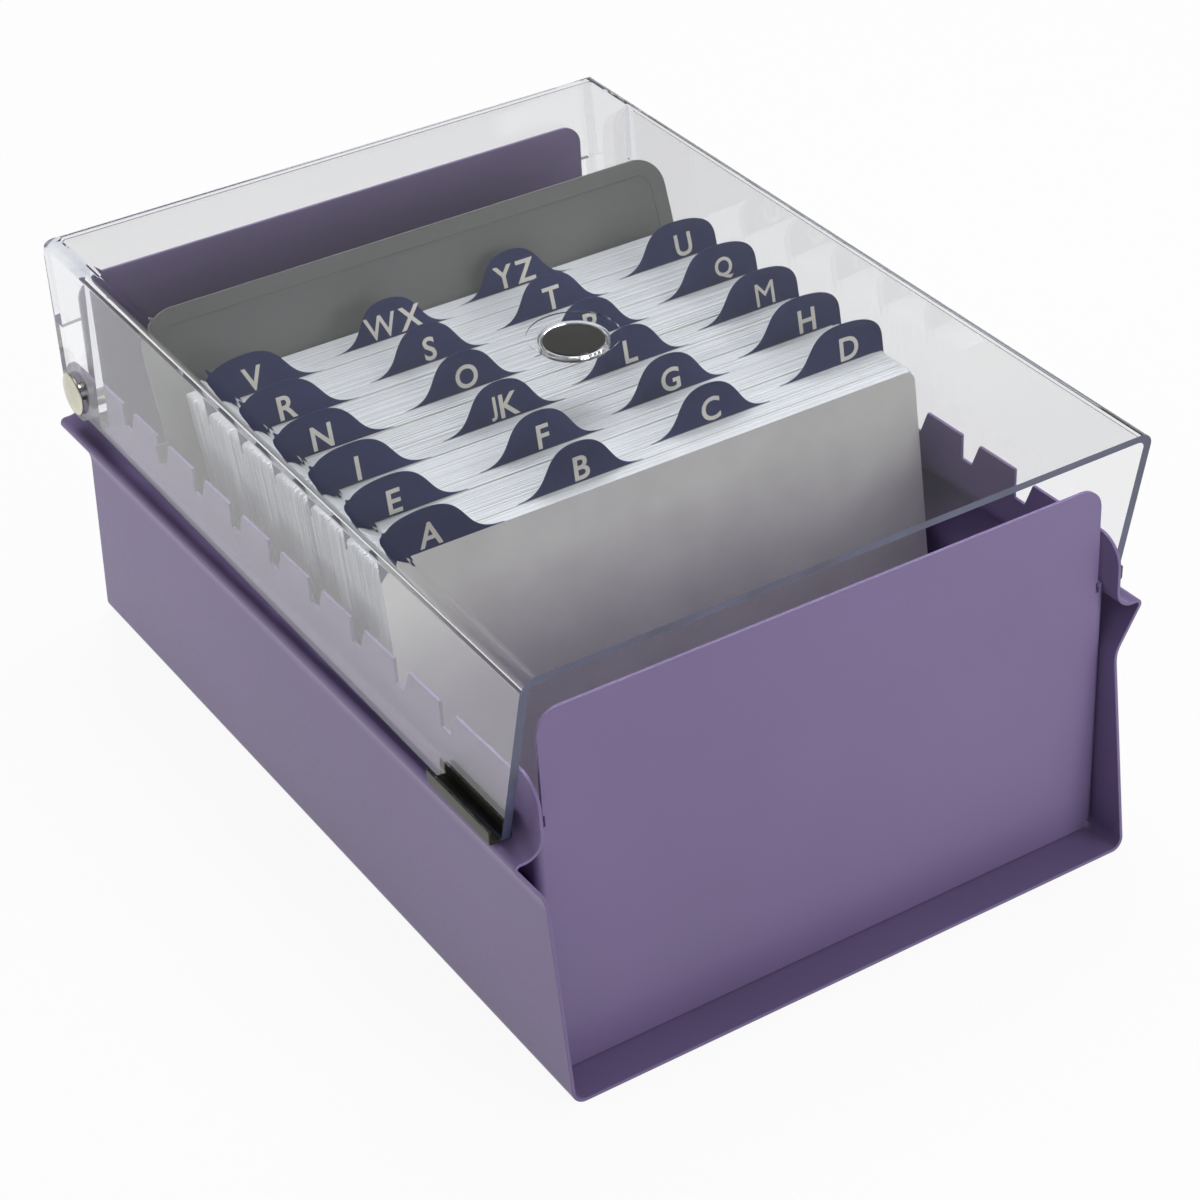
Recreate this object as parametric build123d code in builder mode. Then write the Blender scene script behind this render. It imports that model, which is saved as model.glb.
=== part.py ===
"""Index card box: a folded sheet-metal tray with a hinged clear lid, a follower
plate and a full deck of lettered dividers and cards.

Millimetres, +Z up, +Y from the front of the box to its hinge, origin on the
rest plane under the middle of the tray.
"""
import os
from math import asin, cos, radians, sin, tan

from build123d import *

os.makedirs("parts", exist_ok=True)

# Tray, one folded sheet
sheet = 0.9
tray_length = 260.0
tray_half_width = 83.0
floor_bend = 3.5
kink_height = 56.5
kink_bend = 10.0
flare_rise = 13.8
lip_reach = 8.5
lip_bend = 1.6
valley_bend = 4.5
upstand_rise = 19.0
end_setback = 6.5
upstand_corner = 8.0
half_length = tray_length / 2
lip_height = kink_height + flare_rise
lip_corner_x = tray_half_width + lip_reach
upstand_height = lip_height + upstand_rise

# Dividers and cards
card_width = 152.4
card_height = 101.6
divider_over_card = 1.6
divider_past_card = 1.3
divider_corner = 3.0
divider_sheet = 0.4
leaf_pitch = 4.07
deck_gap = 0.3
deck_front_angle = 7.5
deck_lean_growth_share = 1.3
deck_side_start = 0.3
deck_side_step = 0.177
tab_width = 36.0
tab_height = 10.6
tab_pitch = 41.2
tab_foot_share = 0.38
tab_shoulder_share = 0.62
end_tab_inset = 12.8
end_tab_width = 40.0
end_tab_edge_share = 0.35
end_tab_knee_share = 0.85
rows = [["a", "b", "c", "d"], ["e", "f", "g", "h"], ["i", "jk", "l", "m"],
        ["n", "o", "p", "q"], ["r", "s", "t", "u"], ["v", "wx", "yz"]]
deck_foot = sheet + deck_gap
deck_top = deck_foot + card_height
divider_width = card_width + divider_past_card * 2
divider_height = card_height + divider_over_card

# Hinge axis across the back of the tray
hinge_setback = 18.5
hinge_drop = 6.0
hinge_y = half_length - hinge_setback
hinge_z = upstand_height - hinge_drop

# Row of slots along each upstand
slot_count = 9
slot_front_setback = 44.6
slot_hinge_gap = 25.7
slot_depth = 6.9
slot_front_top = 5.0
slot_front_bottom = 2.0
slot_back = 2.2
slot_first_y = slot_front_setback - half_length
slot_pitch = (hinge_y - slot_hinge_gap - slot_first_y) / (slot_count - 1)

# End panels with side flanges
panel_gap = 0.3
panel_side_step = 3.4
panel_corner = 6.0
flange_rise = 4.7
flange_depth = 10.0
flange_bend = 2.2
relief_width = 1.0
relief_depth = 1.6
front_setback = 11.0
front_over_cards = 1.4
back_hinge_gap = 5.7
back_over_cards = 10.0
panel_half_width = tray_half_width - panel_side_step
flange_top = lip_height + flange_rise
front_face_y = front_setback - half_length
back_face_y = hinge_y + back_hinge_gap

# Lid, measured from the hinge axis in its own tilted frame; it tilts until its clips near the ledge
clip_sheet = 0.9
lid_wall = 2.3
lid_over_tabs = 14.1
lid_rest_gap = 0.55
lid_drop = 5.2
lid_front_setback = 3.6
lid_front_rake = 10.6
lid_back_top = 12.6
lid_back_hinge = 8.0
lid_back_bottom = 6.0
lid_side_room = 5.6
lid_draft = 1.5
lid_long_corner = 4.5
lid_back_corner = 7.0
ear_blend = 4.0
pad_length = 13.5
pad_gap = 0.75
back_wall_clearance = 4.5
lid_top = deck_top + tab_height + lid_over_tabs - hinge_z
lid_bottom = -lid_drop
lid_front_top = lid_front_setback - half_length - hinge_y
lid_front_bottom = lid_front_top + lid_front_rake
lid_half_bottom = tray_half_width + lid_side_room
lid_half_top = lid_half_bottom - lid_draft
pad_front = -pad_length
pad_inner = tray_half_width + pad_gap
back_wall_bottom = half_length - end_setback - hinge_y + back_wall_clearance

# Magnet, its cup under the lid and the dish above it
magnet_radius = 8.0
magnet_height = 1.6
magnet_place_share = 0.502
cup_clearance = 0.1
cup_wall = 1.1
cup_depth = 1.9
dish_radius = 12.0
dish_depth = 0.35
magnet_from_hinge = lid_front_top * magnet_place_share

# Hinge rivets
shank_radius = 2.5
running_clearance = 0.06
tray_hole_clearance = 0.05
head_radius = 6.1
head_gap = 0.4
head_edge = 0.7
head_dome = 0.9
tail_radius = 4.0
tail_height = 1.2

# Clips on the lid's lower edges
clip_inset = 0.7
clip_length = 28.0
clip_lip = 3.0
clip_inner_leg = 5.0
clip_stand = 2.75
clip_bend = 0.5
clip_front = lid_front_bottom + clip_inset
clip_lip_top = lid_bottom + clip_lip
clip_inner_top = lid_bottom + clip_inner_leg

# Follower plate
follower_sheet = 1.0
follower_angle = 20.0
follower_side_gap = 1.3
follower_over_cards = 15.2
follower_corner = 9.0
slots_behind_count = 1
follower_slot_back = 1.15
ear_reach_past = 1.3
ear_height = 5.0
ear_gap = 0.3
border_width = 4.5
border_depth = 0.2
follower_half_width = tray_half_width - sheet - follower_side_gap
follower_top = deck_top + follower_over_cards
ear_reach = tray_half_width + ear_reach_past

# Length by which a cutting shape passes what it cuts
overrun = 5.0


def save(builder, name):
    """Labels a finished solid and writes it to its own file."""
    builder.part.label = name
    export_step(builder.part, "parts/" + name + ".step")


def folded_tray():
    """The floor, walls, ledges and slotted upstands, folded from one sheet."""
    end_y = half_length - end_setback
    with BuildPart() as tray:
        with BuildSketch(Plane.XZ.offset(-half_length)):
            with BuildLine() as fold:
                Polyline((-tray_half_width, upstand_height), (-tray_half_width, lip_height),
                         (-lip_corner_x, lip_height), (-tray_half_width, kink_height),
                         (-tray_half_width, 0), (tray_half_width, 0),
                         (tray_half_width, kink_height), (lip_corner_x, lip_height),
                         (tray_half_width, lip_height), (tray_half_width, upstand_height))
                bends = [(floor_bend, 0, tray_half_width), (kink_bend, kink_height, tray_half_width),
                         (lip_bend, lip_height, lip_corner_x), (valley_bend, lip_height, tray_half_width)]
                for radius, height, reach in bends:
                    corners = [v for v in fold.vertices()
                               if abs(v.Y - height) < sheet and abs(abs(v.X) - reach) < sheet]
                    fillet(corners, radius)
                offset(amount=sheet, side=Side.LEFT)
            make_face()
        extrude(amount=tray_length)
        # End edges lean in from the floor to the kink, then stand upright
        with BuildSketch(Plane.YZ.offset(-lip_corner_x)):
            with BuildLine():
                Polyline((-half_length, 0), (half_length, 0), (end_y, kink_height),
                         (end_y, upstand_height), (-end_y, upstand_height),
                         (-end_y, kink_height), close=True)
            outline = make_face()
            tops = outline.vertices().group_by(Axis.Y)[-1]
            fillet(tops, upstand_corner)
        extrude(amount=lip_corner_x * 2, mode=Mode.INTERSECT)
        # Slots cut down from the top edge of both upstands
        slot_floor = upstand_height - slot_depth
        slot_mouth = upstand_height + overrun
        with BuildSketch(Plane.YZ.offset(-lip_corner_x)):
            for k in range(slot_count):
                y = slot_first_y + k * slot_pitch
                with BuildLine():
                    Polyline((y - slot_front_bottom, slot_floor), (y + slot_back, slot_floor),
                             (y + slot_back, slot_mouth), (y - slot_front_top, slot_mouth),
                             (y - slot_front_top, upstand_height), close=True)
                make_face()
        extrude(amount=lip_corner_x * 2, mode=Mode.SUBTRACT)
        # Holes for the hinge rivets
        with BuildSketch(Plane.YZ.offset(-lip_corner_x)):
            with Locations((hinge_y, hinge_z)):
                Circle(shank_radius + tray_hole_clearance)
        extrude(amount=lip_corner_x * 2, mode=Mode.SUBTRACT)
    return tray


def end_panel(face_y, inward, top):
    """An upright end panel whose side flanges fold in against the tray walls."""
    bottom = sheet + panel_gap
    flange_half_width = tray_half_width - sheet
    upright = Plane(origin=(0, face_y, 0), x_dir=(-inward, 0, 0), z_dir=(0, inward, 0))
    plan = Plane(origin=(0, face_y, bottom), x_dir=(inward, 0, 0), z_dir=(0, 0, 1))
    with BuildPart() as panel:
        with BuildSketch(plan):
            with BuildLine() as bend:
                Polyline((-flange_half_width, flange_depth), (-flange_half_width, 0),
                         (flange_half_width, 0), (flange_half_width, flange_depth))
                fillet(bend.vertices().group_by(Axis.Y)[0], flange_bend)
                offset(amount=sheet, side=Side.LEFT)
            make_face()
        extrude(amount=flange_top - bottom)
        with BuildSketch(upright):
            with Locations((0, flange_top)):
                plate = Rectangle(panel_half_width * 2, top - flange_top,
                                  align=(Align.CENTER, Align.MIN))
            fillet(plate.vertices().group_by(Axis.Y)[-1], panel_corner)
        extrude(amount=sheet)
        with BuildSketch(upright):
            with Locations((-panel_half_width, flange_top), (panel_half_width, flange_top)):
                Rectangle(relief_width, relief_depth * 2)
        extrude(amount=flange_depth, mode=Mode.SUBTRACT)
        # Lower corners cleared for the bends of the tray floor
        with BuildSketch(upright):
            with Locations((-flange_half_width, 0), (flange_half_width, 0)):
                Rectangle(floor_bend * 2, floor_bend * 2)
        extrude(amount=flange_depth, mode=Mode.SUBTRACT)
    return panel


# The lid's own tilted frame at the hinge axis
lid_front_drop = upstand_rise - hinge_drop - lid_drop - clip_sheet - lid_rest_gap
lid_tilt = asin(lid_front_drop / -lid_front_bottom)
tilt_cos = cos(lid_tilt)
tilt_sin = sin(lid_tilt)
lid_reach = lid_half_bottom + overrun


def lid_section(along):
    """Plane across the lid at a distance along it, facing the front."""
    return Plane(origin=(0, hinge_y + along * tilt_cos, hinge_z + along * tilt_sin),
                 x_dir=(1, 0, 0), z_dir=(0, -tilt_cos, -tilt_sin))


def lid_side(x):
    """Plane along the lid at a distance across it, facing +X."""
    return Plane(origin=(x, hinge_y, hinge_z), x_dir=(0, tilt_cos, tilt_sin), z_dir=(1, 0, 0))


def lid_level(along, height):
    """Plane level with the lid's top at a place along it, facing up."""
    return Plane(origin=(0, hinge_y + along * tilt_cos - height * tilt_sin,
                         hinge_z + along * tilt_sin + height * tilt_cos),
                 x_dir=(1, 0, 0), z_dir=(0, -tilt_sin, tilt_cos))


def lid_half(height):
    """Half width of the lid's outer face at a height above the hinge axis."""
    draft = (lid_half_bottom - lid_half_top) / (lid_top - lid_bottom)
    return lid_half_bottom - (height - lid_bottom) * draft


def clear_lid():
    """The moulded cover: top, drafted sides with thick hinge pads, short back wall."""
    ear_radius = lid_back_hinge
    low = lid_bottom - ear_radius
    inner_top = lid_top - lid_wall
    back_slope = (lid_back_top - lid_back_hinge) / lid_top
    with BuildPart() as lid:
        with BuildSketch(lid_section(lid_back_top)):
            with BuildLine():
                Polyline((-lid_half(low), low), (lid_half(low), low),
                         (lid_half(lid_top), lid_top), (-lid_half(lid_top), lid_top), close=True)
            outer = make_face()
            fillet(outer.vertices().group_by(Axis.Y)[-1], lid_long_corner)
        extrude(amount=lid_back_top - lid_front_top)
        # Side outline with the round hinge ears
        with BuildSketch(lid_side(-lid_reach)) as outline:
            with BuildLine():
                Polyline((lid_front_bottom, lid_bottom), (lid_back_bottom, lid_bottom),
                         (lid_back_hinge, 0), (lid_back_top, lid_top),
                         (lid_front_top, lid_top), close=True)
            make_face()
            back_tops = outline.vertices().group_by(Axis.Y)[-1].sort_by(Axis.X)[-1]
            fillet(back_tops, lid_back_corner)
            Circle(ear_radius)
            throat = [v for v in outline.vertices()
                      if abs(v.Y - lid_bottom) < sheet and -ear_radius < v.X < 0]
            fillet(throat, ear_blend)
        extrude(amount=lid_reach * 2, mode=Mode.INTERSECT)
        # Hollow in front of the hinge pads
        with BuildSketch(lid_section(pad_front)):
            with BuildLine():
                Polyline((-lid_half(low) + lid_wall, low), (lid_half(low) - lid_wall, low),
                         (lid_half(inner_top) - lid_wall, inner_top),
                         (-lid_half(inner_top) + lid_wall, inner_top), close=True)
            hollow = make_face()
            fillet(hollow.vertices().group_by(Axis.Y)[-1], lid_long_corner - lid_wall)
        extrude(amount=pad_front - lid_front_top + overrun, mode=Mode.SUBTRACT)
        # Hollow between the hinge pads, up to the back wall
        with BuildSketch(lid_side(-pad_inner)) as rear:
            with BuildLine():
                Polyline((pad_front - overrun, low - overrun),
                         (lid_back_hinge - lid_wall + (low - overrun) * back_slope, low - overrun),
                         (lid_back_hinge - lid_wall + inner_top * back_slope, inner_top),
                         (pad_front - overrun, inner_top), close=True)
            make_face()
            corner = rear.vertices().group_by(Axis.Y)[-1].sort_by(Axis.X)[-1]
            fillet(corner, lid_back_corner - lid_wall)
        extrude(amount=pad_inner * 2, mode=Mode.SUBTRACT)
        # Open back under the back wall
        with BuildSketch(lid_side(-pad_inner)):
            with BuildLine():
                Polyline((0, low - overrun), (lid_back_top + overrun, low - overrun),
                         (lid_back_top + overrun, back_wall_bottom), (0, back_wall_bottom), close=True)
            make_face()
        extrude(amount=pad_inner * 2, mode=Mode.SUBTRACT)
        # Rivet holes
        with BuildSketch(lid_side(-lid_reach)):
            Circle(shank_radius + running_clearance)
        extrude(amount=lid_reach * 2, mode=Mode.SUBTRACT)
        # Magnet cup under the top and the shallow dish above it
        with BuildSketch(lid_level(magnet_from_hinge, inner_top)):
            Circle(magnet_radius + cup_clearance + cup_wall)
            Circle(magnet_radius + cup_clearance, mode=Mode.SUBTRACT)
        extrude(amount=-cup_depth)
        with BuildSketch(lid_level(magnet_from_hinge, lid_top)):
            Circle(dish_radius)
        extrude(amount=-dish_depth, mode=Mode.SUBTRACT)
    return lid


def lid_magnet():
    """The disc that sits in the cup under the lid."""
    with BuildPart() as magnet:
        with BuildSketch(lid_level(magnet_from_hinge, lid_top - lid_wall)):
            Circle(magnet_radius)
        extrude(amount=-magnet_height)
    return magnet


def hinge_rivet(side):
    """A rivet with a low domed head outside the lid and a clinched tail in the tray."""
    tray_face = tray_half_width - sheet
    head_face = max(lid_half(-head_radius), lid_half(head_radius)) + head_gap
    rim = head_face + head_edge
    crown = rim + head_dome
    profile_plane = Plane(origin=(0, hinge_y, hinge_z), x_dir=(side, 0, 0), z_dir=(0, -side, 0))
    with BuildPart() as rivet:
        with BuildSketch(profile_plane):
            with BuildLine():
                Polyline((crown, 0), (tray_face - tail_height, 0), (tray_face - tail_height, tail_radius),
                         (tray_face, tail_radius), (tray_face, shank_radius), (head_face, shank_radius),
                         (head_face, head_radius), (rim, head_radius))
                TangentArc((crown, 0), (rim, head_radius), tangent=(0, 1))
            make_face()
        revolve(axis=Axis((0, hinge_y, hinge_z), (side, 0, 0)))
    return rivet


def lid_clip(side):
    """A hook of sheet metal under the lid's lower edge, near the front; its outer lip stands off."""
    under = lid_bottom - clip_sheet
    outside = lid_half(lid_bottom) + clip_stand
    lap = lid_half(lid_bottom) - lid_wall
    with BuildPart() as clip:
        with BuildSketch(lid_section(clip_front + clip_length)):
            with BuildLine():
                Polyline((side * outside, clip_lip_top),
                         (side * outside, under),
                         (side * (lap - clip_sheet), under),
                         (side * (lid_half(clip_inner_top) - lid_wall - clip_sheet), clip_inner_top),
                         (side * (lid_half(clip_inner_top) - lid_wall), clip_inner_top),
                         (side * lap, lid_bottom),
                         (side * (outside - clip_sheet), lid_bottom),
                         (side * (outside - clip_sheet), clip_lip_top), close=True)
            hook = make_face()
            fillet(hook.vertices().group_by(Axis.Y)[0], clip_bend)
        extrude(amount=clip_length)
    return clip


# Place and lean of the follower plate, set by its slot
lean_cos = cos(radians(follower_angle))
lean_sin = sin(radians(follower_angle))
follower_slot = slot_count - 1 - slots_behind_count
follower_y = slot_first_y + follower_slot * slot_pitch - follower_slot_back
ear_foot_z = upstand_height - slot_depth + ear_gap


def follower():
    """The leaning plate behind the deck, with an ear in a slot on each side."""
    lean = Plane(origin=(0, follower_y, ear_foot_z), x_dir=(1, 0, 0), z_dir=(0, -lean_cos, lean_sin))
    foot = -(ear_foot_z - sheet - deck_gap - follower_sheet * lean_sin) / lean_cos
    head = (follower_top - ear_foot_z) / lean_cos
    with BuildPart() as plate:
        with BuildSketch(lean):
            with Locations((0, foot)):
                blade = Rectangle(follower_half_width * 2, head - foot, align=(Align.CENTER, Align.MIN))
            fillet(blade.vertices().group_by(Axis.Y)[-1], follower_corner)
            Rectangle(ear_reach * 2, ear_height, align=(Align.CENTER, Align.MIN))
        extrude(amount=follower_sheet / 2, both=True)
        # Shallow field inside a raised border on the front face
        with BuildSketch(lean.offset(follower_sheet / 2)):
            with Locations((0, foot + border_width)):
                RectangleRounded(follower_half_width * 2 - border_width * 2,
                                 head - foot - border_width * 2, follower_corner - border_width,
                                 align=(Align.CENTER, Align.MIN))
        extrude(amount=-border_depth, mode=Mode.SUBTRACT)
    return plate


# The deck fans out from its front divider to the follower's front face
sheet_count = sum(len(row) for row in rows)
follower_foot_y = follower_y - (ear_foot_z - deck_foot) * tan(radians(follower_angle))
deck_back_y = follower_foot_y - (follower_sheet / 2 + deck_gap) / lean_cos
deck_front_y = deck_back_y - sheet_count * leaf_pitch


def leaf_lean(index):
    """Lean of a leaf of the deck from upright, in degrees, growing faster to the back."""
    growth = (index / sheet_count) ** deck_lean_growth_share
    return deck_front_angle + (follower_angle - deck_front_angle) * growth


def leaf_side(index):
    """Place of a leaf's middle across the tray: the deck drifts to one side towards the back."""
    return deck_side_start + index * deck_side_step


def tab_side(centre, hand, outermost):
    """Half of a tab's outline: a flared bell, or a rounded shoulder at the divider's own edge."""
    tip = divider_height + tab_height
    if outermost:
        foot = hand * divider_width / 2
        Bezier((foot, divider_height + tab_height * end_tab_edge_share),
               (foot, divider_height + tab_height * end_tab_knee_share),
               (centre + (foot - centre) * tab_shoulder_share, tip), (centre, tip))
        Line((foot, divider_height - divider_corner), (foot, divider_height + tab_height * end_tab_edge_share))
    else:
        at_end = abs(centre) > tab_pitch
        half_tab = (end_tab_width if at_end else tab_width) / 2
        foot = centre + hand * half_tab
        Bezier((foot, divider_height), (centre + hand * half_tab * tab_foot_share, divider_height),
               (centre + hand * half_tab * tab_shoulder_share, tip), (centre, tip))
        Line((foot, divider_height - divider_corner), (foot, divider_height))
    return foot


def divider(index, column):
    """A divider: a sheet a little larger than a card with one tab on its top edge."""
    lean = radians(leaf_lean(index))
    face = Plane(origin=(leaf_side(index), deck_front_y + index * leaf_pitch, deck_foot),
                 x_dir=(1, 0, 0), z_dir=(0, -cos(lean), sin(lean)))
    last_column = len(rows[0]) - 1
    centre = (column - last_column / 2) * tab_pitch
    if column in (0, last_column):
        centre = (1 if column else -1) * (divider_width / 2 - end_tab_inset)
    with BuildPart() as leaf:
        with BuildSketch(face):
            blank = Rectangle(divider_width, divider_height, align=(Align.CENTER, Align.MIN))
            fillet(blank.vertices(), divider_corner)
            with BuildLine():
                left = tab_side(centre, -1, column == 0)
                right = tab_side(centre, 1, column == last_column)
                Line((left, divider_height - divider_corner), (right, divider_height - divider_corner))
            make_face()
        extrude(amount=-divider_sheet)
    return leaf


def card_pack(index, last_in_row):
    """The wedge of cards between a divider and the next leaf of the deck."""
    front = radians(leaf_lean(index))
    back = radians(leaf_lean(index + 1))
    room = deck_gap / cos(back) if last_in_row else 0
    front_y = deck_front_y + index * leaf_pitch + divider_sheet / cos(front)
    back_y = deck_front_y + (index + 1) * leaf_pitch - room
    with BuildPart() as pack:
        with BuildSketch(Plane.YZ.offset(leaf_side(index) - card_width / 2)):
            with BuildLine():
                Polyline((front_y, deck_foot), (back_y, deck_foot),
                         (back_y + card_height * sin(back), deck_foot + card_height * cos(back)),
                         (front_y + card_height * sin(front), deck_foot + card_height * cos(front)),
                         close=True)
            make_face()
        extrude(amount=card_width)
    return pack


save(folded_tray(), "base_channel")
save(end_panel(front_face_y, 1, deck_top + front_over_cards), "front_panel")
save(end_panel(back_face_y, -1, deck_top + back_over_cards), "back_panel")
save(clear_lid(), "lid")
save(lid_magnet(), "magnet")
for hand_name, hand in (("left", -1), ("right", 1)):
    save(hinge_rivet(hand), "hinge_rivet_" + hand_name)
    save(lid_clip(hand), "lid_clip_" + hand_name)
save(follower(), "follower_plate")
leaf_index = 0
for row in rows:
    for leaf_column, letters in enumerate(row):
        save(divider(leaf_index, leaf_column), "divider_" + letters)
        save(card_pack(leaf_index, letters == row[-1]), "cards_" + letters)
        leaf_index += 1
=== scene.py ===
import math

import bmesh
import bpy
import numpy as np
from mathutils import Matrix, Vector


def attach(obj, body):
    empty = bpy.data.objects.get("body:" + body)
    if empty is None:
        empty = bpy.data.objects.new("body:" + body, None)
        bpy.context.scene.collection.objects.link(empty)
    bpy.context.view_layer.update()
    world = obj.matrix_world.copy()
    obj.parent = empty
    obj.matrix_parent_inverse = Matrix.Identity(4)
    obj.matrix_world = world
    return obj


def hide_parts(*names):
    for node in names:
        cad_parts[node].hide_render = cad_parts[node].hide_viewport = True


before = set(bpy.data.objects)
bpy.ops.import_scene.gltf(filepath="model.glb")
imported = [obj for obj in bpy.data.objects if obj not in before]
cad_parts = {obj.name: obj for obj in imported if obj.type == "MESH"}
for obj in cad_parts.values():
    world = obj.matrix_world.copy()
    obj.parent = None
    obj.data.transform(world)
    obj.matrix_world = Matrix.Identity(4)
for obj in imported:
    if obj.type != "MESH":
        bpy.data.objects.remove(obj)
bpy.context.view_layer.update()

MM = 0.001

# Deck sizes; the loose cards are a little larger than their plain packs, the rest is as in the solids
CARD_WIDTH = 154.2 * MM
CARD_CORNER = 0.8 * MM
CARD_CORNER_STEPS = 3
DIVIDER_WIDTH = 155.0 * MM
DIVIDER_HEIGHT = 103.2 * MM
DIVIDER_CORNER = 3.0 * MM
DIVIDER_CORNER_STEPS = 6
DIVIDER_SHEET = 0.4 * MM
LEAF_PITCH = 4.07 * MM
DECK_FRONT_Y = -60.875 * MM
DECK_SIDE_START = 0.3 * MM
DECK_SIDE_STEP = 0.177 * MM
DECK_FOOT = 1.2 * MM
DECK_FRONT_ANGLE = math.radians(7.5)
DECK_BACK_ANGLE = math.radians(20.0)
DECK_LEAN_GROWTH = 1.3
ROW_GAP = 0.3 * MM
TAB_WIDTH = 36.0 * MM
END_TAB_WIDTH = 40.0 * MM
END_TAB_INSET = 12.8 * MM
END_TAB_EDGE_SHARE = 0.35
END_TAB_KNEE_SHARE = 0.85
TAB_HEIGHT = 10.6 * MM
TAB_PITCH = 41.2 * MM
TAB_FOOT_SHARE = 0.38
TAB_SHOULDER_SHARE = 0.62
TAB_STEPS = 20
ROWS = [["a", "b", "c", "d"], ["e", "f", "g", "h"], ["i", "jk", "l", "m"],
        ["n", "o", "p", "q"], ["r", "s", "t", "u"], ["v", "wx", "yz"]]
ROW_BODIES = ["row_one", "row_two", "row_three", "row_four", "row_five", "tray"]
LEAF_COUNT = sum(len(row) for row in ROWS)

# Lid frame at the hinge, and the magnet in its cup under the lid's top
HINGE_Y = 111.5 * MM
HINGE_Z = 83.3 * MM
LID_TILT = math.asin(6.35 / 227.3)
LID_INNER_TOP = 41.9 * MM
LID_FRONT_ZONE_Y = -100.0 * MM
LID_FACING = 0.8
MAGNET_FROM_HINGE = -119.43 * MM
MAGNET_RADIUS = 8.0 * MM
MAGNET_HEIGHT = 1.45 * MM
MAGNET_EDGE = 0.3 * MM
MAGNET_EDGE_BULGE = 0.3
MAGNET_SEGMENTS = 64
MAGNET_GAP = 0.12 * MM
CUP_RADII = [8.1 * MM, 9.2 * MM, 12.0 * MM]
CUP_SEGMENTS = 42
CUP_CUTS = 3
CUP_FOOT = 40.0 * MM
CUP_SLACK = 0.004 * MM

# Merging and rounding of the copied solids
MERGE_WITHIN = 0.002 * MM
FLAT_WITHIN = math.radians(0.4)
SHARP_EDGE = math.radians(32)
SHEET_EDGE = 0.22 * MM
LID_EDGE = 0.35 * MM
LID_EDGE_SEGMENTS = 3
FOLLOWER_EDGE = 0.25 * MM
RIVET_EDGE = 0.25 * MM
CLIP_EDGE = 0.2 * MM

# Loose cards in each pack
CARDS_IN_PACK = 12
CARD_SHEET = 0.285 * MM
CARD_TOP = 103.1 * MM
CARD_HEIGHT_SPREAD = 0.11 * MM
CARD_SIDE_SPREAD = 0.25 * MM
SHUFFLE_SEED = 11

# Printed letters
LETTER_HEIGHT = 6.3 * MM
LETTER_BASE = 0.6 * MM
LETTER_ASIDE = [0.0, 0.6 * MM, 0.3 * MM, 2.2 * MM]
LETTER_PROUD = 0.05 * MM
LETTER_SPACE = 0.9 * MM
LETTER_WEIGHT_USUAL = 0.018
LETTER_WEIGHT = {"M": 0.0, "W": 0.008}
LETTER_FINENESS = 4

# Clear plastic: turns of light inside the wall, bending, haze, tint and the share of lamp light let through
CLEAR_BOUNCES = 4.5
CLEAR_IOR = 1.49
CLEAR_HAZE = 0.04
CLEAR_TINT = (0.3, 0.36, 0.5, 1)
CLEAR_TINT_DENSITY = 14.0
CLEAR_LAMP_PASS = (0.96, 0.965, 0.97, 1)


# Node helpers for the finishes

def new_material(name):
    """An empty material: returns it with its node tree, Principled node and output."""
    material = bpy.data.materials.new(name)
    material.use_nodes = True
    tree = material.node_tree
    return material, tree, tree.nodes["Principled BSDF"], tree.nodes["Material Output"]


def add_node(tree, kind, inputs=None, **settings):
    """Adds a node, sets its attributes and fills or links the named inputs."""
    node = tree.nodes.new(kind)
    for key, value in settings.items():
        setattr(node, key, value)
    for key, value in (inputs or {}).items():
        if isinstance(value, bpy.types.NodeSocket):
            tree.links.new(value, node.inputs[key])
        else:
            node.inputs[key].default_value = value
    return node


def object_noise(tree, scale, detail=3.0, roughness=0.55, stretch=(1, 1, 1)):
    """Noise on Object coordinates, squeezed along each axis by stretch: returns its value socket."""
    place = add_node(tree, "ShaderNodeTexCoord")
    spread = add_node(tree, "ShaderNodeMapping", {"Vector": place.outputs["Object"], "Scale": stretch})
    noise = add_node(tree, "ShaderNodeTexNoise", {"Vector": spread.outputs["Vector"], "Scale": scale,
                                                  "Detail": detail, "Roughness": roughness})
    return noise.outputs["Fac"]


def ramp(tree, factor, low, high, low_at=0.35, high_at=0.65):
    """A two-colour ramp driven by a factor: returns its colour socket."""
    node = add_node(tree, "ShaderNodeValToRGB", {"Fac": factor})
    node.color_ramp.elements[0].position = low_at
    node.color_ramp.elements[0].color = (*low, 1)
    node.color_ramp.elements[1].position = high_at
    node.color_ramp.elements[1].color = (*high, 1)
    return node.outputs["Color"]


def spread_value(tree, factor, low, high):
    """Maps a 0 to 1 factor onto low to high: returns the value socket."""
    node = add_node(tree, "ShaderNodeMapRange", {"Value": factor, "To Min": low, "To Max": high})
    return node.outputs["Result"]


def bump(tree, height, strength, distance):
    """A bump of the given depth in metres: returns its normal socket."""
    node = add_node(tree, "ShaderNodeBump", {"Height": height, "Strength": strength, "Distance": distance})
    return node.outputs["Normal"]


def tinted(colour, share):
    """A colour made lighter or darker by a share of itself."""
    return tuple(c * (1 + share) for c in colour)


def colour_drift(tree, shader, factor, colour, darker, lighter):
    """Base colour that wanders with a factor between a darker and a lighter share of one colour."""
    drift = ramp(tree, factor, tinted(colour, -darker), tinted(colour, lighter))
    tree.links.new(drift, shader.inputs["Base Color"])


def gloss_drift(tree, shader, factor, low, high):
    """Roughness that wanders with a factor between two values."""
    tree.links.new(spread_value(tree, factor, low, high), shader.inputs["Roughness"])


def raised(tree, shader, factor, strength, depth):
    """A surface lifted by a factor, depth in metres."""
    tree.links.new(bump(tree, factor, strength, depth), shader.inputs["Normal"])


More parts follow.
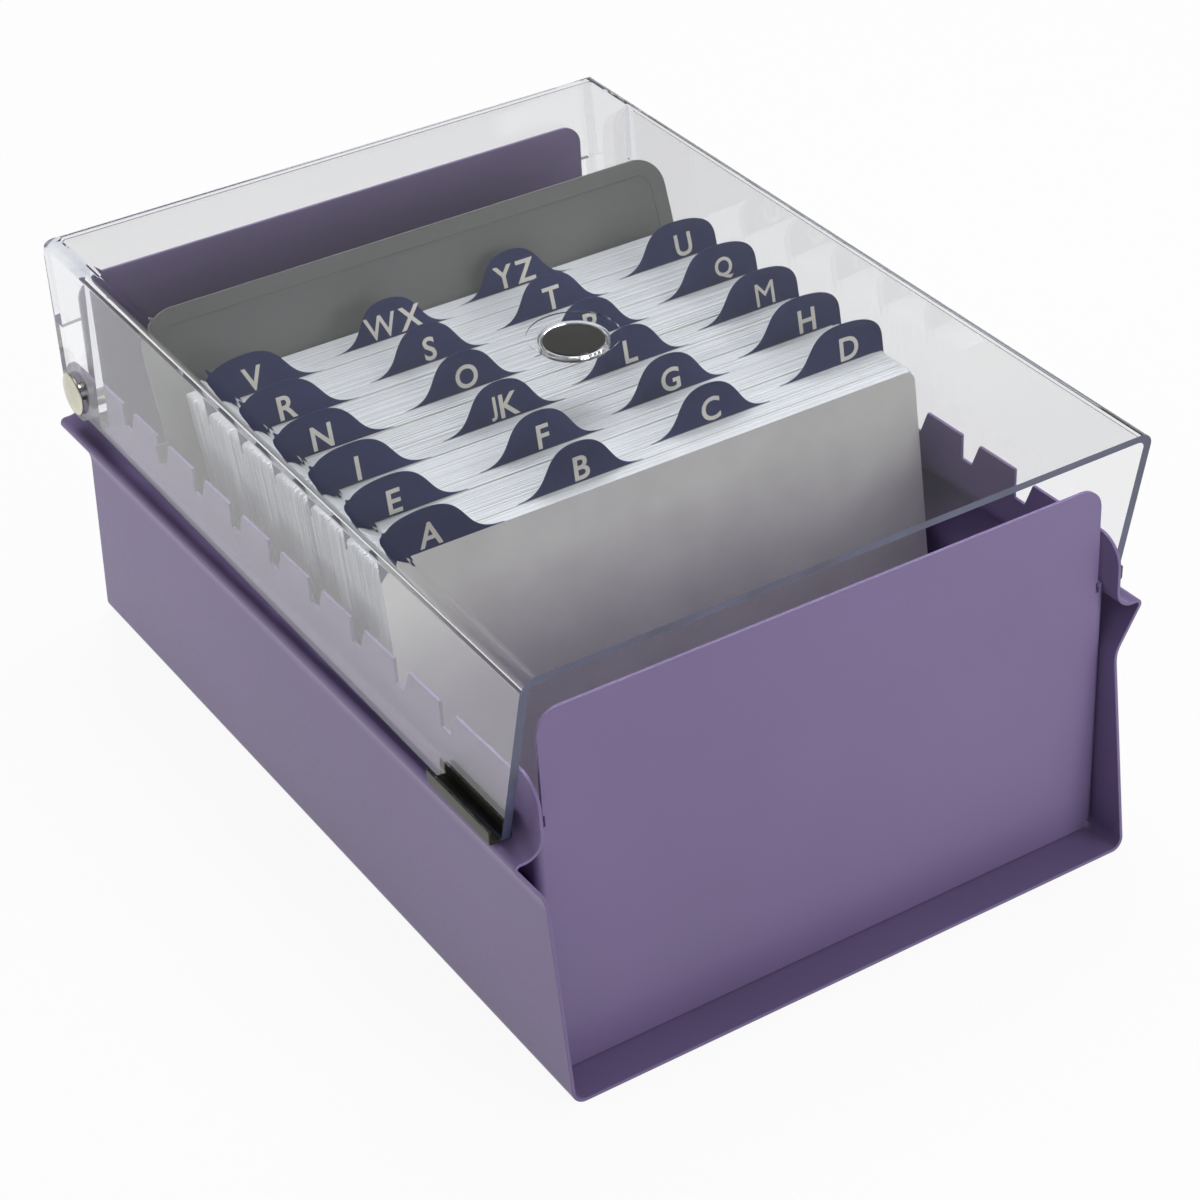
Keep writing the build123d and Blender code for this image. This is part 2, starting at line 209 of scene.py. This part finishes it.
def powder_paint(name, colour, roughness):
    """Satin paint on sheet metal: slow tone drift, fine grain in the gloss and a slight orange peel."""
    material, tree, shader, _ = new_material(name)
    tone = object_noise(tree, scale=9.0)
    grain = object_noise(tree, scale=900.0, detail=2.0)
    colour_drift(tree, shader, tone, colour, darker=0.04, lighter=0.04)
    gloss_drift(tree, shader, grain, low=roughness - 0.06, high=roughness + 0.08)
    raised(tree, shader, grain, strength=0.25, depth=0.04 * MM)
    shader.inputs["Specular IOR Level"].default_value = 0.3
    return material


def paper(name, colour):
    """Matt card stock: soft mottling and fine fibres that also lift the surface."""
    material, tree, shader, _ = new_material(name)
    mottle = object_noise(tree, scale=60.0)
    fibre = object_noise(tree, scale=500.0, detail=4.0, roughness=0.7, stretch=(1, 4, 4))
    colour_drift(tree, shader, mottle, colour, darker=0.05, lighter=0.03)
    gloss_drift(tree, shader, fibre, low=0.7, high=0.92)
    raised(tree, shader, fibre, strength=0.2, depth=0.05 * MM)
    shader.inputs["Specular IOR Level"].default_value = 0.25
    return material


def bare_metal(name, colour, roughness, metallic=1.0, gloss=0.5):
    """Metal with fine rubbed lines across it: plated at metallic one, dark and dull where that is low."""
    material, tree, shader, _ = new_material(name)
    lines = object_noise(tree, scale=700.0, detail=2.0, roughness=0.5, stretch=(1, 6, 1))
    wear = object_noise(tree, scale=120.0)
    colour_drift(tree, shader, wear, colour, darker=0.12, lighter=0.08)
    gloss_drift(tree, shader, lines, low=roughness - 0.07, high=roughness + 0.1)
    raised(tree, shader, lines, strength=0.15, depth=0.03 * MM)
    shader.inputs["Metallic"].default_value = metallic
    shader.inputs["Specular IOR Level"].default_value = gloss
    return material


def clear_moulding(name):
    """Polished clear plastic, tinted through its thickness.

    Light to a lamp, and light caught in the wall, pass straight through.
    """
    material, tree, shader, output = new_material(name)
    gloss_drift(tree, shader, object_noise(tree, scale=35.0, detail=4.0), low=0.0, high=CLEAR_HAZE)
    shader.inputs["Base Color"].default_value = (1.0, 1.0, 1.0, 1)
    shader.inputs["Transmission Weight"].default_value = 1.0
    shader.inputs["IOR"].default_value = CLEAR_IOR
    path = add_node(tree, "ShaderNodeLightPath")
    trapped = add_node(tree, "ShaderNodeMath", {0: path.outputs["Ray Depth"], 1: CLEAR_BOUNCES},
                       operation="GREATER_THAN")
    straight = add_node(tree, "ShaderNodeMath", {0: path.outputs["Is Shadow Ray"], 1: trapped.outputs[0]},
                        operation="MAXIMUM")
    passing = add_node(tree, "ShaderNodeBsdfTransparent", {"Color": CLEAR_LAMP_PASS})
    mix = add_node(tree, "ShaderNodeMixShader")
    tree.links.new(straight.outputs[0], mix.inputs["Fac"])
    tree.links.new(shader.outputs["BSDF"], mix.inputs[1])
    tree.links.new(passing.outputs["BSDF"], mix.inputs[2])
    tree.links.new(mix.outputs["Shader"], output.inputs["Surface"])
    tint = add_node(tree, "ShaderNodeVolumeAbsorption", {"Color": CLEAR_TINT, "Density": CLEAR_TINT_DENSITY})
    tree.links.new(tint.outputs["Volume"], output.inputs["Volume"])
    return material


def painted_edge_shade_material(name, colour):
    """Painted shade for the sawn edge of clear sheet: satin, with the dark blue-grey that light running out
    through the clear edge shows painted in as an opaque colour, in random streaks.
    """
    material, tree, shader, _ = new_material(name)
    streak = object_noise(tree, scale=60.0)
    colour_drift(tree, shader, streak, colour, darker=0.25, lighter=0.25)
    gloss_drift(tree, shader, streak, low=0.22, high=0.4)
    return material


tray_paint = powder_paint("tray_purple_satin", (0.205, 0.156, 0.308), roughness=0.36)
follower_paint = powder_paint("follower_grey_satin", (0.15, 0.152, 0.144), roughness=0.45)
clip_paint = bare_metal("clip_dark_metal", (0.05, 0.05, 0.04), roughness=0.35, metallic=0.6)
rivet_plate = bare_metal("rivet_plated", (0.62, 0.61, 0.5), roughness=0.3)
magnet_metal = bare_metal("magnet_dark", (0.013, 0.013, 0.011), roughness=0.68, metallic=0.0, gloss=0.08)
clear_plastic = clear_moulding("lid_clear")
# The lid's cut edges: an opaque dark blue-grey, painted shade standing for the light that runs out of the
# clear edge
painted_edge_shade = painted_edge_shade_material("lid_painted_edge_shade", (0.07, 0.077, 0.14))
card_paper = paper("card_white", (0.78, 0.8, 0.83))
divider_paper = paper("divider_stock", (0.76, 0.76, 0.7))
tab_navy = paper("tab_navy", (0.022, 0.028, 0.09))
letter_cream = paper("letter_cream", (0.68, 0.66, 0.58))


# Pieces

def put_mesh(name, points, faces, materials, face_material=None):
    """A new object at the origin from an array of points and a list of faces."""
    mesh = bpy.data.meshes.new(name)
    mesh.from_pydata(points.reshape(-1, 3).tolist(), [], faces)
    for material in materials:
        mesh.materials.append(material)
    if face_material is not None:
        mesh.polygons.foreach_set("material_index", np.asarray(face_material, np.int32))
    mesh.update()
    piece = bpy.data.objects.new(name, mesh)
    bpy.context.scene.collection.objects.link(piece)
    return piece


def rim_faces(count, start, lift):
    """Quads that join ring start..start+count to the ring lift further on."""
    here = np.arange(count)
    after = (here + 1) % count
    return np.stack([start + here, start + here + lift, start + after + lift, start + after], -1).tolist()


def about_cup(points):
    """Points in the lid's own frame: across and along from the magnet's axis, and up from the hinge."""
    y, z = points[:, 1] - HINGE_Y, points[:, 2] - HINGE_Z
    along = y * math.cos(LID_TILT) + z * math.sin(LID_TILT) - MAGNET_FROM_HINGE
    up = z * math.cos(LID_TILT) - y * math.sin(LID_TILT)
    return np.stack([points[:, 0], along, up], -1)


def round_cup(work):
    """Makes the magnet's cup rounder: returns the lid's points and which edges belong to the cup.

    The edges round the cup are cut into shorter ones, its rim becomes a ring of quads, and each point
    within a chord's sagitta of a circle moves out from the axis to that circle.
    """
    ends = np.array([[vert.co for vert in edge.verts] for edge in work.edges])
    first, second = about_cup(ends[:, 0]), about_cup(ends[:, 1])
    radius = np.hypot(first[:, 0], first[:, 1])
    change = np.abs(np.hypot(second[:, 0], second[:, 1]) - radius) + np.abs(second[:, 2] - first[:, 2])
    circling = (change < CUP_SLACK) & (radius < CUP_RADII[-1] + CUP_SLACK)
    bmesh.ops.subdivide_edges(work, edges=[edge for edge, keep in zip(work.edges, circling) if keep],
                              cuts=CUP_CUTS, use_grid_fill=True)
    middle = about_cup(np.array([face.calc_center_median() for face in work.faces]))
    within = np.hypot(middle[:, 0], middle[:, 1]) < CUP_RADII[1]
    on_rim = within & (np.abs(middle[:, 2] - CUP_FOOT) < CUP_SLACK)
    bmesh.ops.delete(work, geom=[face for face, gone in zip(work.faces, on_rim) if gone], context="FACES")
    bmesh.ops.bridge_loops(work, edges=[edge for edge in work.edges if edge.is_boundary])
    bmesh.ops.recalc_face_normals(work, faces=work.faces)
    work.verts.index_update()
    placed = about_cup(np.array([vert.co for vert in work.verts]))
    radius = np.hypot(placed[:, 0], placed[:, 1])
    sagitta = 1 - math.cos(math.pi / CUP_SEGMENTS)
    for circle in CUP_RADII:
        near = (radius < circle + CUP_SLACK) & (radius > circle * (1 - sagitta) - CUP_SLACK)
        placed[near, :2] *= (circle / radius[near])[:, None]
    along, up = placed[:, 1] + MAGNET_FROM_HINGE, placed[:, 2]
    y = HINGE_Y + along * math.cos(LID_TILT) - up * math.sin(LID_TILT)
    z = HINGE_Z + along * math.sin(LID_TILT) + up * math.cos(LID_TILT)
    points = np.stack([placed[:, 0], y, z], -1)
    edge_ends = np.array([[vert.index for vert in edge.verts] for edge in work.edges])
    middle = about_cup(points[edge_ends].mean(1))
    within = np.hypot(middle[:, 0], middle[:, 1]) < CUP_RADII[1] + CUP_SLACK
    return points, within & (middle[:, 2] < LID_INNER_TOP + CUP_SLACK)


def softened(node, body, material, width, segments=2, shaped=None):
    """A copy of a CAD node, merged, with its sharp edges rounded off by width.

    A shaped function, where given, works on the mesh first and says which edges stay unrounded.
    """
    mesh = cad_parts[node].data.copy()
    work = bmesh.new()
    work.from_mesh(mesh)
    bmesh.ops.remove_doubles(work, verts=work.verts, dist=MERGE_WITHIN)
    bmesh.ops.dissolve_limit(work, angle_limit=FLAT_WITHIN, verts=work.verts, edges=work.edges)
    points, left_alone = shaped(work) if shaped else (None, False)
    angles = np.array([edge.calc_face_angle(0.0) for edge in work.edges])
    work.to_mesh(mesh)
    work.free()
    if shaped:
        mesh.vertices.foreach_set("co", points.ravel())
    rounded = (angles > SHARP_EDGE) & np.logical_not(left_alone)
    weight = mesh.attributes.new("bevel_weight_edge", "FLOAT", "EDGE")
    weight.data.foreach_set("value", rounded.astype(np.float32))
    mesh.materials.clear()
    mesh.materials.append(material)
    mesh.shade_smooth()
    piece = bpy.data.objects.new(node + "_finished", mesh)
    bpy.context.scene.collection.objects.link(piece)
    edge = piece.modifiers.new("rounded_edges", "BEVEL")
    edge.limit_method = "WEIGHT"
    edge.width = width
    edge.segments = segments
    edge.use_clamp_overlap = True
    even = piece.modifiers.new("even_shading", "WEIGHTED_NORMAL")
    even.keep_sharp = True
    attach(piece, body)
    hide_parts(node)
    return piece


def paint_shade_on_cut_faces(piece):
    """Gives the lid's cut faces, the ones that look to the front or straight down, the opaque painted edge
    shade in place of the clear plastic.
    """
    polygons = piece.data.polygons
    facing = np.empty(len(polygons) * 3)
    polygons.foreach_get("normal", facing)
    facing = facing.reshape(-1, 3)
    middle = np.empty(len(polygons) * 3)
    polygons.foreach_get("center", middle)
    middle = middle.reshape(-1, 3)
    # Faces that take the painted shade of the clear edge
    to_front = (facing[:, 1] < -LID_FACING) & (middle[:, 1] < LID_FRONT_ZONE_Y)
    to_floor = (facing[:, 2] < -LID_FACING) & (middle[:, 2] < HINGE_Z)
    piece.data.materials.append(painted_edge_shade)
    polygons.foreach_set("material_index", (to_front | to_floor).astype(np.int32))


def magnet_disc():
    """The magnet: a turned disc, profile (radius, height) carried round the lid's own up direction."""
    turn = np.linspace(0, 2 * math.pi, MAGNET_SEGMENTS, endpoint=False)
    edge = MAGNET_EDGE
    bulge = MAGNET_EDGE_BULGE * edge
    radius = np.array([0, MAGNET_RADIUS - edge, MAGNET_RADIUS - bulge, MAGNET_RADIUS, MAGNET_RADIUS,
                       MAGNET_RADIUS - edge, 0])
    height = np.array([0, 0, -bulge, -edge, edge - MAGNET_HEIGHT, -MAGNET_HEIGHT, -MAGNET_HEIGHT])
    along = MAGNET_FROM_HINGE + radius[:, None] * np.cos(turn)
    up = LID_INNER_TOP - MAGNET_GAP + height[:, None] + 0 * along
    x = radius[:, None] * np.sin(turn)
    y = HINGE_Y + along * math.cos(LID_TILT) - up * math.sin(LID_TILT)
    z = HINGE_Z + along * math.sin(LID_TILT) + up * math.cos(LID_TILT)
    points = np.stack([x, y, z], -1)
    rings, around = radius.size, turn.size
    faces = [face for ring in range(rings - 1) for face in rim_faces(around, ring * around, around)]
    piece = put_mesh("magnet_disc", points, faces, [magnet_metal])
    work = bmesh.new()
    work.from_mesh(piece.data)
    bmesh.ops.remove_doubles(work, verts=work.verts, dist=MERGE_WITHIN)
    bmesh.ops.recalc_face_normals(work, faces=work.faces)
    work.to_mesh(piece.data)
    work.free()
    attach(piece, "lid")
    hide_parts("magnet")


for sheet_node in ("base_channel", "front_panel", "back_panel"):
    softened(sheet_node, "tray", tray_paint, SHEET_EDGE)
clear_lid = softened("lid", "lid", clear_plastic, LID_EDGE, LID_EDGE_SEGMENTS, round_cup)
# The lid's front and underside cut faces take the painted edge shade
paint_shade_on_cut_faces(clear_lid)
magnet_disc()
softened("follower_plate", "follower", follower_paint, FOLLOWER_EDGE)
for hand in ("left", "right"):
    softened("hinge_rivet_" + hand, "tray", rivet_plate, RIVET_EDGE)
    softened("lid_clip_" + hand, "lid", clip_paint, CLIP_EDGE)


# The deck

def leaf_angle(index):
    """Lean of leaf number index, growing from the deck's front to the follower, faster to the back."""
    growth = (index / LEAF_COUNT) ** DECK_LEAN_GROWTH
    return DECK_FRONT_ANGLE + (DECK_BACK_ANGLE - DECK_FRONT_ANGLE) * growth


def leaf_side(index):
    """Place of a leaf's middle across the tray: the deck drifts to one side towards the back."""
    return DECK_SIDE_START + index * DECK_SIDE_STEP


def leaf_points(outline, index, foot_y, angle, depth):
    """Carries a flat outline (x, height) onto a leaf that leans back by angle, depth behind its face.

    x gains the leaf's drift, y = foot + height sin(angle) + depth cos(angle),
    z = deck foot + height cos(angle) - depth sin(angle).
    """
    x, height = outline[..., 0] + leaf_side(index), outline[..., 1]
    y = foot_y + height * np.sin(angle) + depth * np.cos(angle)
    z = DECK_FOOT + height * np.cos(angle) - depth * np.sin(angle)
    return np.stack(np.broadcast_arrays(x, y, z), -1)


def corner_arc(x, height, radius, start, steps):
    """A quarter circle about (x, height), anticlockwise from the start angle in quarter turns."""
    turn = (start + np.linspace(0, 1, steps + 1)) * math.pi / 2
    return np.stack([x + radius * np.cos(turn), height + radius * np.sin(turn)], -1)


def card_outline():
    """A card seen from the front, anticlockwise from its lower left, with quarter-round top corners."""
    side = CARD_WIDTH / 2 - CARD_CORNER
    top = CARD_TOP - CARD_CORNER
    feet = np.array([[-CARD_WIDTH / 2, 0], [CARD_WIDTH / 2, 0]])
    return np.concatenate([feet, corner_arc(side, top, CARD_CORNER, 0, CARD_CORNER_STEPS),
                           corner_arc(-side, top, CARD_CORNER, 1, CARD_CORNER_STEPS)])


def sheet_outline(column):
    """A divider below its tab: round corners, but a straight cut where an end tab takes the corner."""
    side = DIVIDER_WIDTH / 2 - DIVIDER_CORNER
    top = DIVIDER_HEIGHT - DIVIDER_CORNER
    steps = DIVIDER_CORNER_STEPS
    right_steps = 1 if column == len(ROWS[0]) - 1 else steps
    left_steps = 1 if column == 0 else steps
    return np.concatenate([corner_arc(-side, DIVIDER_CORNER, DIVIDER_CORNER, 2, steps),
                           corner_arc(side, DIVIDER_CORNER, DIVIDER_CORNER, 3, steps),
                           corner_arc(side, top, DIVIDER_CORNER, 0, right_steps),
                           corner_arc(-side, top, DIVIDER_CORNER, 1, left_steps)])


def tab_centre(column):
    """Middle of a tab across its divider; end tabs stand a set distance in from the edge."""
    last = len(ROWS[0]) - 1
    if column in (0, last):
        return (1 if column else -1) * (DIVIDER_WIDTH / 2 - END_TAB_INSET)
    return (column - last / 2) * TAB_PITCH


def tab_half(column, hand):
    """Half of a tab's outline from its foot to its top, one cubic Bezier.

    An inner foot flares out along the divider's top edge; an outer foot of an end tab is the
    divider's own edge and rounds over into the top.
    """
    centre = tab_centre(column)
    tip = DIVIDER_HEIGHT + TAB_HEIGHT
    t = np.linspace(0, 1, TAB_STEPS)[:, None]
    weights = np.concatenate([(1 - t) ** 3, 3 * t * (1 - t) ** 2, 3 * t ** 2 * (1 - t), t ** 3], 1)
    end_tab = abs(centre) > TAB_PITCH
    if end_tab and hand * centre > 0:
        edge = hand * DIVIDER_WIDTH / 2
        knots = np.array([[edge, DIVIDER_HEIGHT + TAB_HEIGHT * END_TAB_EDGE_SHARE],
                          [edge, DIVIDER_HEIGHT + TAB_HEIGHT * END_TAB_KNEE_SHARE],
                          [centre + (edge - centre) * TAB_SHOULDER_SHARE, tip], [centre, tip]])
        cut = np.array([[edge - hand * DIVIDER_CORNER, DIVIDER_HEIGHT],
                        [edge, DIVIDER_HEIGHT - DIVIDER_CORNER]])
        return np.concatenate([cut, weights @ knots])
    reach = hand * (END_TAB_WIDTH if end_tab else TAB_WIDTH) / 2
    knots = np.array([[centre + reach, DIVIDER_HEIGHT], [centre + reach * TAB_FOOT_SHARE, DIVIDER_HEIGHT],
                      [centre + reach * TAB_SHOULDER_SHARE, tip], [centre, tip]])
    return weights @ knots


def tab_outline(column):
    """A whole tab, anticlockwise from its right foot over the top to its left foot."""
    return np.concatenate([tab_half(column, 1), tab_half(column, -1)[-2::-1]])


def divider_piece(index, column, letters, body):
    """A divider: a sheet with pale cut edges and an inked tab."""
    foot_y = DECK_FRONT_Y + index * LEAF_PITCH
    angle = leaf_angle(index)
    sheet = sheet_outline(column)
    bell = tab_outline(column)
    count, tab_count = len(sheet), len(bell)
    rings = [leaf_points(flat, index, foot_y, angle, depth)
             for flat in (sheet, bell) for depth in (0.0, DIVIDER_SHEET)]
    tab_start = 2 * count
    faces = [list(range(count)), list(range(2 * count - 1, count - 1, -1))]
    faces += rim_faces(count, 0, count)
    plain = len(faces)
    faces += [list(range(tab_start, tab_start + tab_count)),
              list(range(tab_start + 2 * tab_count - 1, tab_start + tab_count - 1, -1))]
    faces += rim_faces(tab_count, tab_start, tab_count)
    finish = np.zeros(len(faces), int)
    finish[2:plain] = 2
    finish[plain:] = 1
    piece = put_mesh("divider_" + letters + "_printed", np.concatenate(rings), faces,
                     [divider_paper, tab_navy, card_paper], finish)
    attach(piece, body)
    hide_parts("divider_" + letters)


def glyph(character):
    """One flat letter of the built-in type, at full letter height above its foot: points and faces."""
    type_data = bpy.data.curves.new("type", "FONT")
    type_data.body = character
    type_data.offset = LETTER_WEIGHT.get(character, LETTER_WEIGHT_USUAL)
    type_data.resolution_u = LETTER_FINENESS
    holder = bpy.data.objects.new("type", type_data)
    bpy.context.scene.collection.objects.link(holder)
    bpy.context.view_layer.update()
    mesh = bpy.data.meshes.new_from_object(holder.evaluated_get(bpy.context.evaluated_depsgraph_get()))
    bpy.data.objects.remove(holder)
    points = np.empty(len(mesh.vertices) * 3)
    mesh.vertices.foreach_get("co", points)
    points = points.reshape(-1, 3)[:, :2]
    points -= points.min(0)
    return points * LETTER_HEIGHT / points[:, 1].max(), [list(face.vertices) for face in mesh.polygons]


def letter_piece(index, column, letters, body):
    """The tab's letters side by side: flat type set a hair in front of the leaf, centred on the tab."""
    flats, faces, count, reach = [], [], 0, 0.0
    for character in letters.upper():
        points, drawn = glyph(character)
        flats.append(points + [reach, 0])
        faces += [[count + corner for corner in face] for face in drawn]
        count += len(points)
        reach += points[:, 0].max() + LETTER_SPACE
    centre = tab_centre(column) + LETTER_ASIDE[column] - (reach - LETTER_SPACE) / 2
    flat = np.concatenate(flats) + [centre, DIVIDER_HEIGHT + LETTER_BASE]
    placed = leaf_points(flat, index, DECK_FRONT_Y + index * LEAF_PITCH, leaf_angle(index), -LETTER_PROUD)
    piece = put_mesh("letter_" + letters, placed, faces, [letter_cream])
    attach(piece, body)


def pack_piece(index, letters, body, last_in_row, random):
    """The loose cards behind a divider, each standing a little low or aside.

    The room they leave is shared out between them at random, and each card's lean lies between
    those of the leaves before and behind it, by its place in the pack.
    """
    front, back = leaf_angle(index), leaf_angle(index + 1)
    front_y = DECK_FRONT_Y + index * LEAF_PITCH + DIVIDER_SHEET / math.cos(front)
    back_y = DECK_FRONT_Y + (index + 1) * LEAF_PITCH - (ROW_GAP if last_in_row else 0)
    slack = np.cumsum(random.random(CARDS_IN_PACK + 1))
    room = back_y - front_y
    spare = room - CARDS_IN_PACK * CARD_SHEET / math.cos(back)
    sheets_before = np.arange(CARDS_IN_PACK) * CARD_SHEET / math.cos(back)
    ahead = sheets_before + spare * slack[:-1] / slack[-1]
    angle = (front + (back - front) * ahead / room)[:, None, None]
    foot_y = (front_y + ahead)[:, None, None]
    rise = -np.abs(random.normal(0, CARD_HEIGHT_SPREAD, CARDS_IN_PACK))
    aside = random.normal(0, CARD_SIDE_SPREAD, CARDS_IN_PACK)
    outline = card_outline()
    count = len(outline)
    cards = np.broadcast_to(outline, (CARDS_IN_PACK, 1, count, 2)).copy()
    cards[:, 0, 2:, 1] += rise[:, None]
    cards[:, 0, :, 0] += aside[:, None]
    depth = np.array([0.0, CARD_SHEET])[None, :, None]
    points = leaf_points(cards, index, foot_y, angle, depth)
    faces = []
    for card in range(CARDS_IN_PACK):
        start = card * 2 * count
        faces.append(list(range(start, start + count)))
        faces.append(list(range(start + 2 * count - 1, start + count - 1, -1)))
        faces += rim_faces(count, start, count)
    piece = put_mesh("cards_" + letters + "_loose", points, faces, [card_paper])
    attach(piece, body)
    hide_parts("cards_" + letters)


shuffle = np.random.default_rng(SHUFFLE_SEED)
leaf = 0
for row, row_body in zip(ROWS, ROW_BODIES):
    for column, letters in enumerate(row):
        divider_piece(leaf, column, letters, row_body)
        letter_piece(leaf, column, letters, row_body)
        pack_piece(leaf, letters, row_body, letters == row[-1], shuffle)
        leaf += 1


# Stage: floor, world, lamps and camera
FLOOR_REACH = 4.0
FLOOR_DROP = 0.15 * MM
FLOOR_PALE = (0.86, 0.86, 0.86, 1)
FLOOR_ROUGHNESS = 0.9
FLOOR_GLOW = 0.93
DOME_LIGHT = 0.22
WHITE_BELOW = math.radians(8)
DIM_ABOVE = math.radians(20)


def seen_clear(tree):
    """One for rays seen, mirrored or through clear plastic, zero once a ray has left a matt surface."""
    path = add_node(tree, "ShaderNodeLightPath")
    mirrored = add_node(tree, "ShaderNodeMath", {0: path.outputs["Is Camera Ray"],
                                                 1: path.outputs["Is Glossy Ray"]}, operation="MAXIMUM")
    through = add_node(tree, "ShaderNodeMath", {0: mirrored.outputs[0],
                                                1: path.outputs["Is Transmission Ray"]}, operation="MAXIMUM")
    unscattered = add_node(tree, "ShaderNodeMath", {0: path.outputs["Diffuse Depth"], 1: 0.5},
                           operation="LESS_THAN")
    seen = add_node(tree, "ShaderNodeMath", {0: through.outputs[0], 1: unscattered.outputs[0]},
                    operation="MULTIPLY")
    return seen.outputs[0]


def white_floor():
    """A wide pale floor that keeps a soft shadow and is nearly white to the camera."""
    signs = np.array([[-1, -1], [1, -1], [1, 1], [-1, 1]])
    corners = np.column_stack([signs * FLOOR_REACH, np.full(len(signs), -FLOOR_DROP)])
    floor = put_mesh("floor", corners, [[0, 1, 2, 3]], [])
    material, tree, shader, output = new_material("floor_white")
    shader.inputs["Base Color"].default_value = FLOOR_PALE
    shader.inputs["Roughness"].default_value = FLOOR_ROUGHNESS
    glow = add_node(tree, "ShaderNodeEmission", {"Color": (1, 1, 1, 1), "Strength": 1.0})
    share = add_node(tree, "ShaderNodeMath", {0: seen_clear(tree), 1: FLOOR_GLOW}, operation="MULTIPLY")
    mix = add_node(tree, "ShaderNodeMixShader")
    tree.links.new(share.outputs[0], mix.inputs["Fac"])
    tree.links.new(shader.outputs["BSDF"], mix.inputs[1])
    tree.links.new(glow.outputs["Emission"], mix.inputs[2])
    tree.links.new(mix.outputs["Shader"], output.inputs["Surface"])
    floor.data.materials.append(material)


def white_world(strength):
    """A dome that is white low down where it is seen, and dimmer overhead and as a light."""
    world = bpy.data.worlds.new("studio")
    bpy.context.scene.world = world
    world.use_nodes = True
    tree = world.node_tree
    ground = tree.nodes["Background"]
    place = add_node(tree, "ShaderNodeTexCoord")
    parts = add_node(tree, "ShaderNodeSeparateXYZ", {"Vector": place.outputs["Generated"]})
    low = add_node(tree, "ShaderNodeMapRange", {"Value": parts.outputs["Z"],
                                                "From Min": math.sin(WHITE_BELOW), "To Min": 1.0,
                                                "From Max": math.sin(DIM_ABOVE), "To Max": 0.0})
    share = add_node(tree, "ShaderNodeMath", {0: seen_clear(tree), 1: low.outputs["Result"]},
                     operation="MULTIPLY")
    level = add_node(tree, "ShaderNodeMapRange", {"Value": share.outputs[0],
                                                  "To Min": strength, "To Max": 1.0})
    tree.links.new(level.outputs["Result"], ground.inputs["Strength"])
    ground.inputs["Color"].default_value = (1, 1, 1, 1)


def soft_lamp(name, place, aim, width, height, watts, faint_image=False):
    """A soft box turned to a point, with no image of itself in anything, or a faint one in the lid."""
    data = bpy.data.lights.new(name, "AREA")
    data.shape = "RECTANGLE"
    data.size = width
    data.size_y = height
    data.energy = watts
    lamp = bpy.data.objects.new(name, data)
    lamp.location = place
    lamp.visible_glossy = False
    lamp.visible_transmission = faint_image
    lamp.rotation_euler = (Vector(aim) - Vector(place)).to_track_quat("-Z", "Y").to_euler()
    bpy.context.scene.collection.objects.link(lamp)


# Camera at the photograph's angle: turn, height and a slight roll about a point in the box
CAMERA_TURN = math.radians(-30.567)
CAMERA_HEIGHT = math.radians(33.340)
CAMERA_ROLL = math.radians(-3.299)
CAMERA_DISTANCE = 811.0 * MM
CAMERA_AIM = Vector((10.28 * MM, 2.8 * MM, 34.0 * MM))
CAMERA_LENS = 89.59
CAMERA_SENSOR = 36.0
CAMERA_NEAR = 0.01
CAMERA_FAR = 50.0


def photo_camera():
    """The camera on its ray from the aim point, rolled about its own view line."""
    back = Vector((math.sin(CAMERA_TURN) * math.cos(CAMERA_HEIGHT),
                   -math.cos(CAMERA_TURN) * math.cos(CAMERA_HEIGHT), math.sin(CAMERA_HEIGHT)))
    level = back.cross(Vector((0, 0, -1))).normalized()
    upright = back.cross(level)
    right = level * math.cos(CAMERA_ROLL) + upright * math.sin(CAMERA_ROLL)
    up = upright * math.cos(CAMERA_ROLL) - level * math.sin(CAMERA_ROLL)
    data = bpy.data.cameras.new("photo_camera")
    data.lens = CAMERA_LENS
    data.sensor_width = CAMERA_SENSOR
    data.clip_start = CAMERA_NEAR
    data.clip_end = CAMERA_FAR
    camera = bpy.data.objects.new("photo_camera", data)
    bpy.context.scene.collection.objects.link(camera)
    place = CAMERA_AIM + back * CAMERA_DISTANCE
    camera.matrix_world = Matrix(((right.x, up.x, back.x, place.x),
                                  (right.y, up.y, back.y, place.y),
                                  (right.z, up.z, back.z, place.z), (0, 0, 0, 1)))
    bpy.context.scene.camera = camera


white_floor()
white_world(DOME_LIGHT)
soft_lamp("top_box", place=(0.35, 0.35, 1.3), aim=(0, 0, 0.05), width=0.9, height=0.9, watts=12.6,
          faint_image=True)
soft_lamp("left_box", place=(-1.1, 0.7, 0.2), aim=(0, 0, 0.05), width=1.0, height=0.36, watts=4.8)
soft_lamp("front_box", place=(0.5, -1.2, 0.5), aim=(0, 0, 0.08), width=1.0, height=0.5, watts=7.6)
photo_camera()
bpy.context.scene.view_settings.view_transform = "Standard"
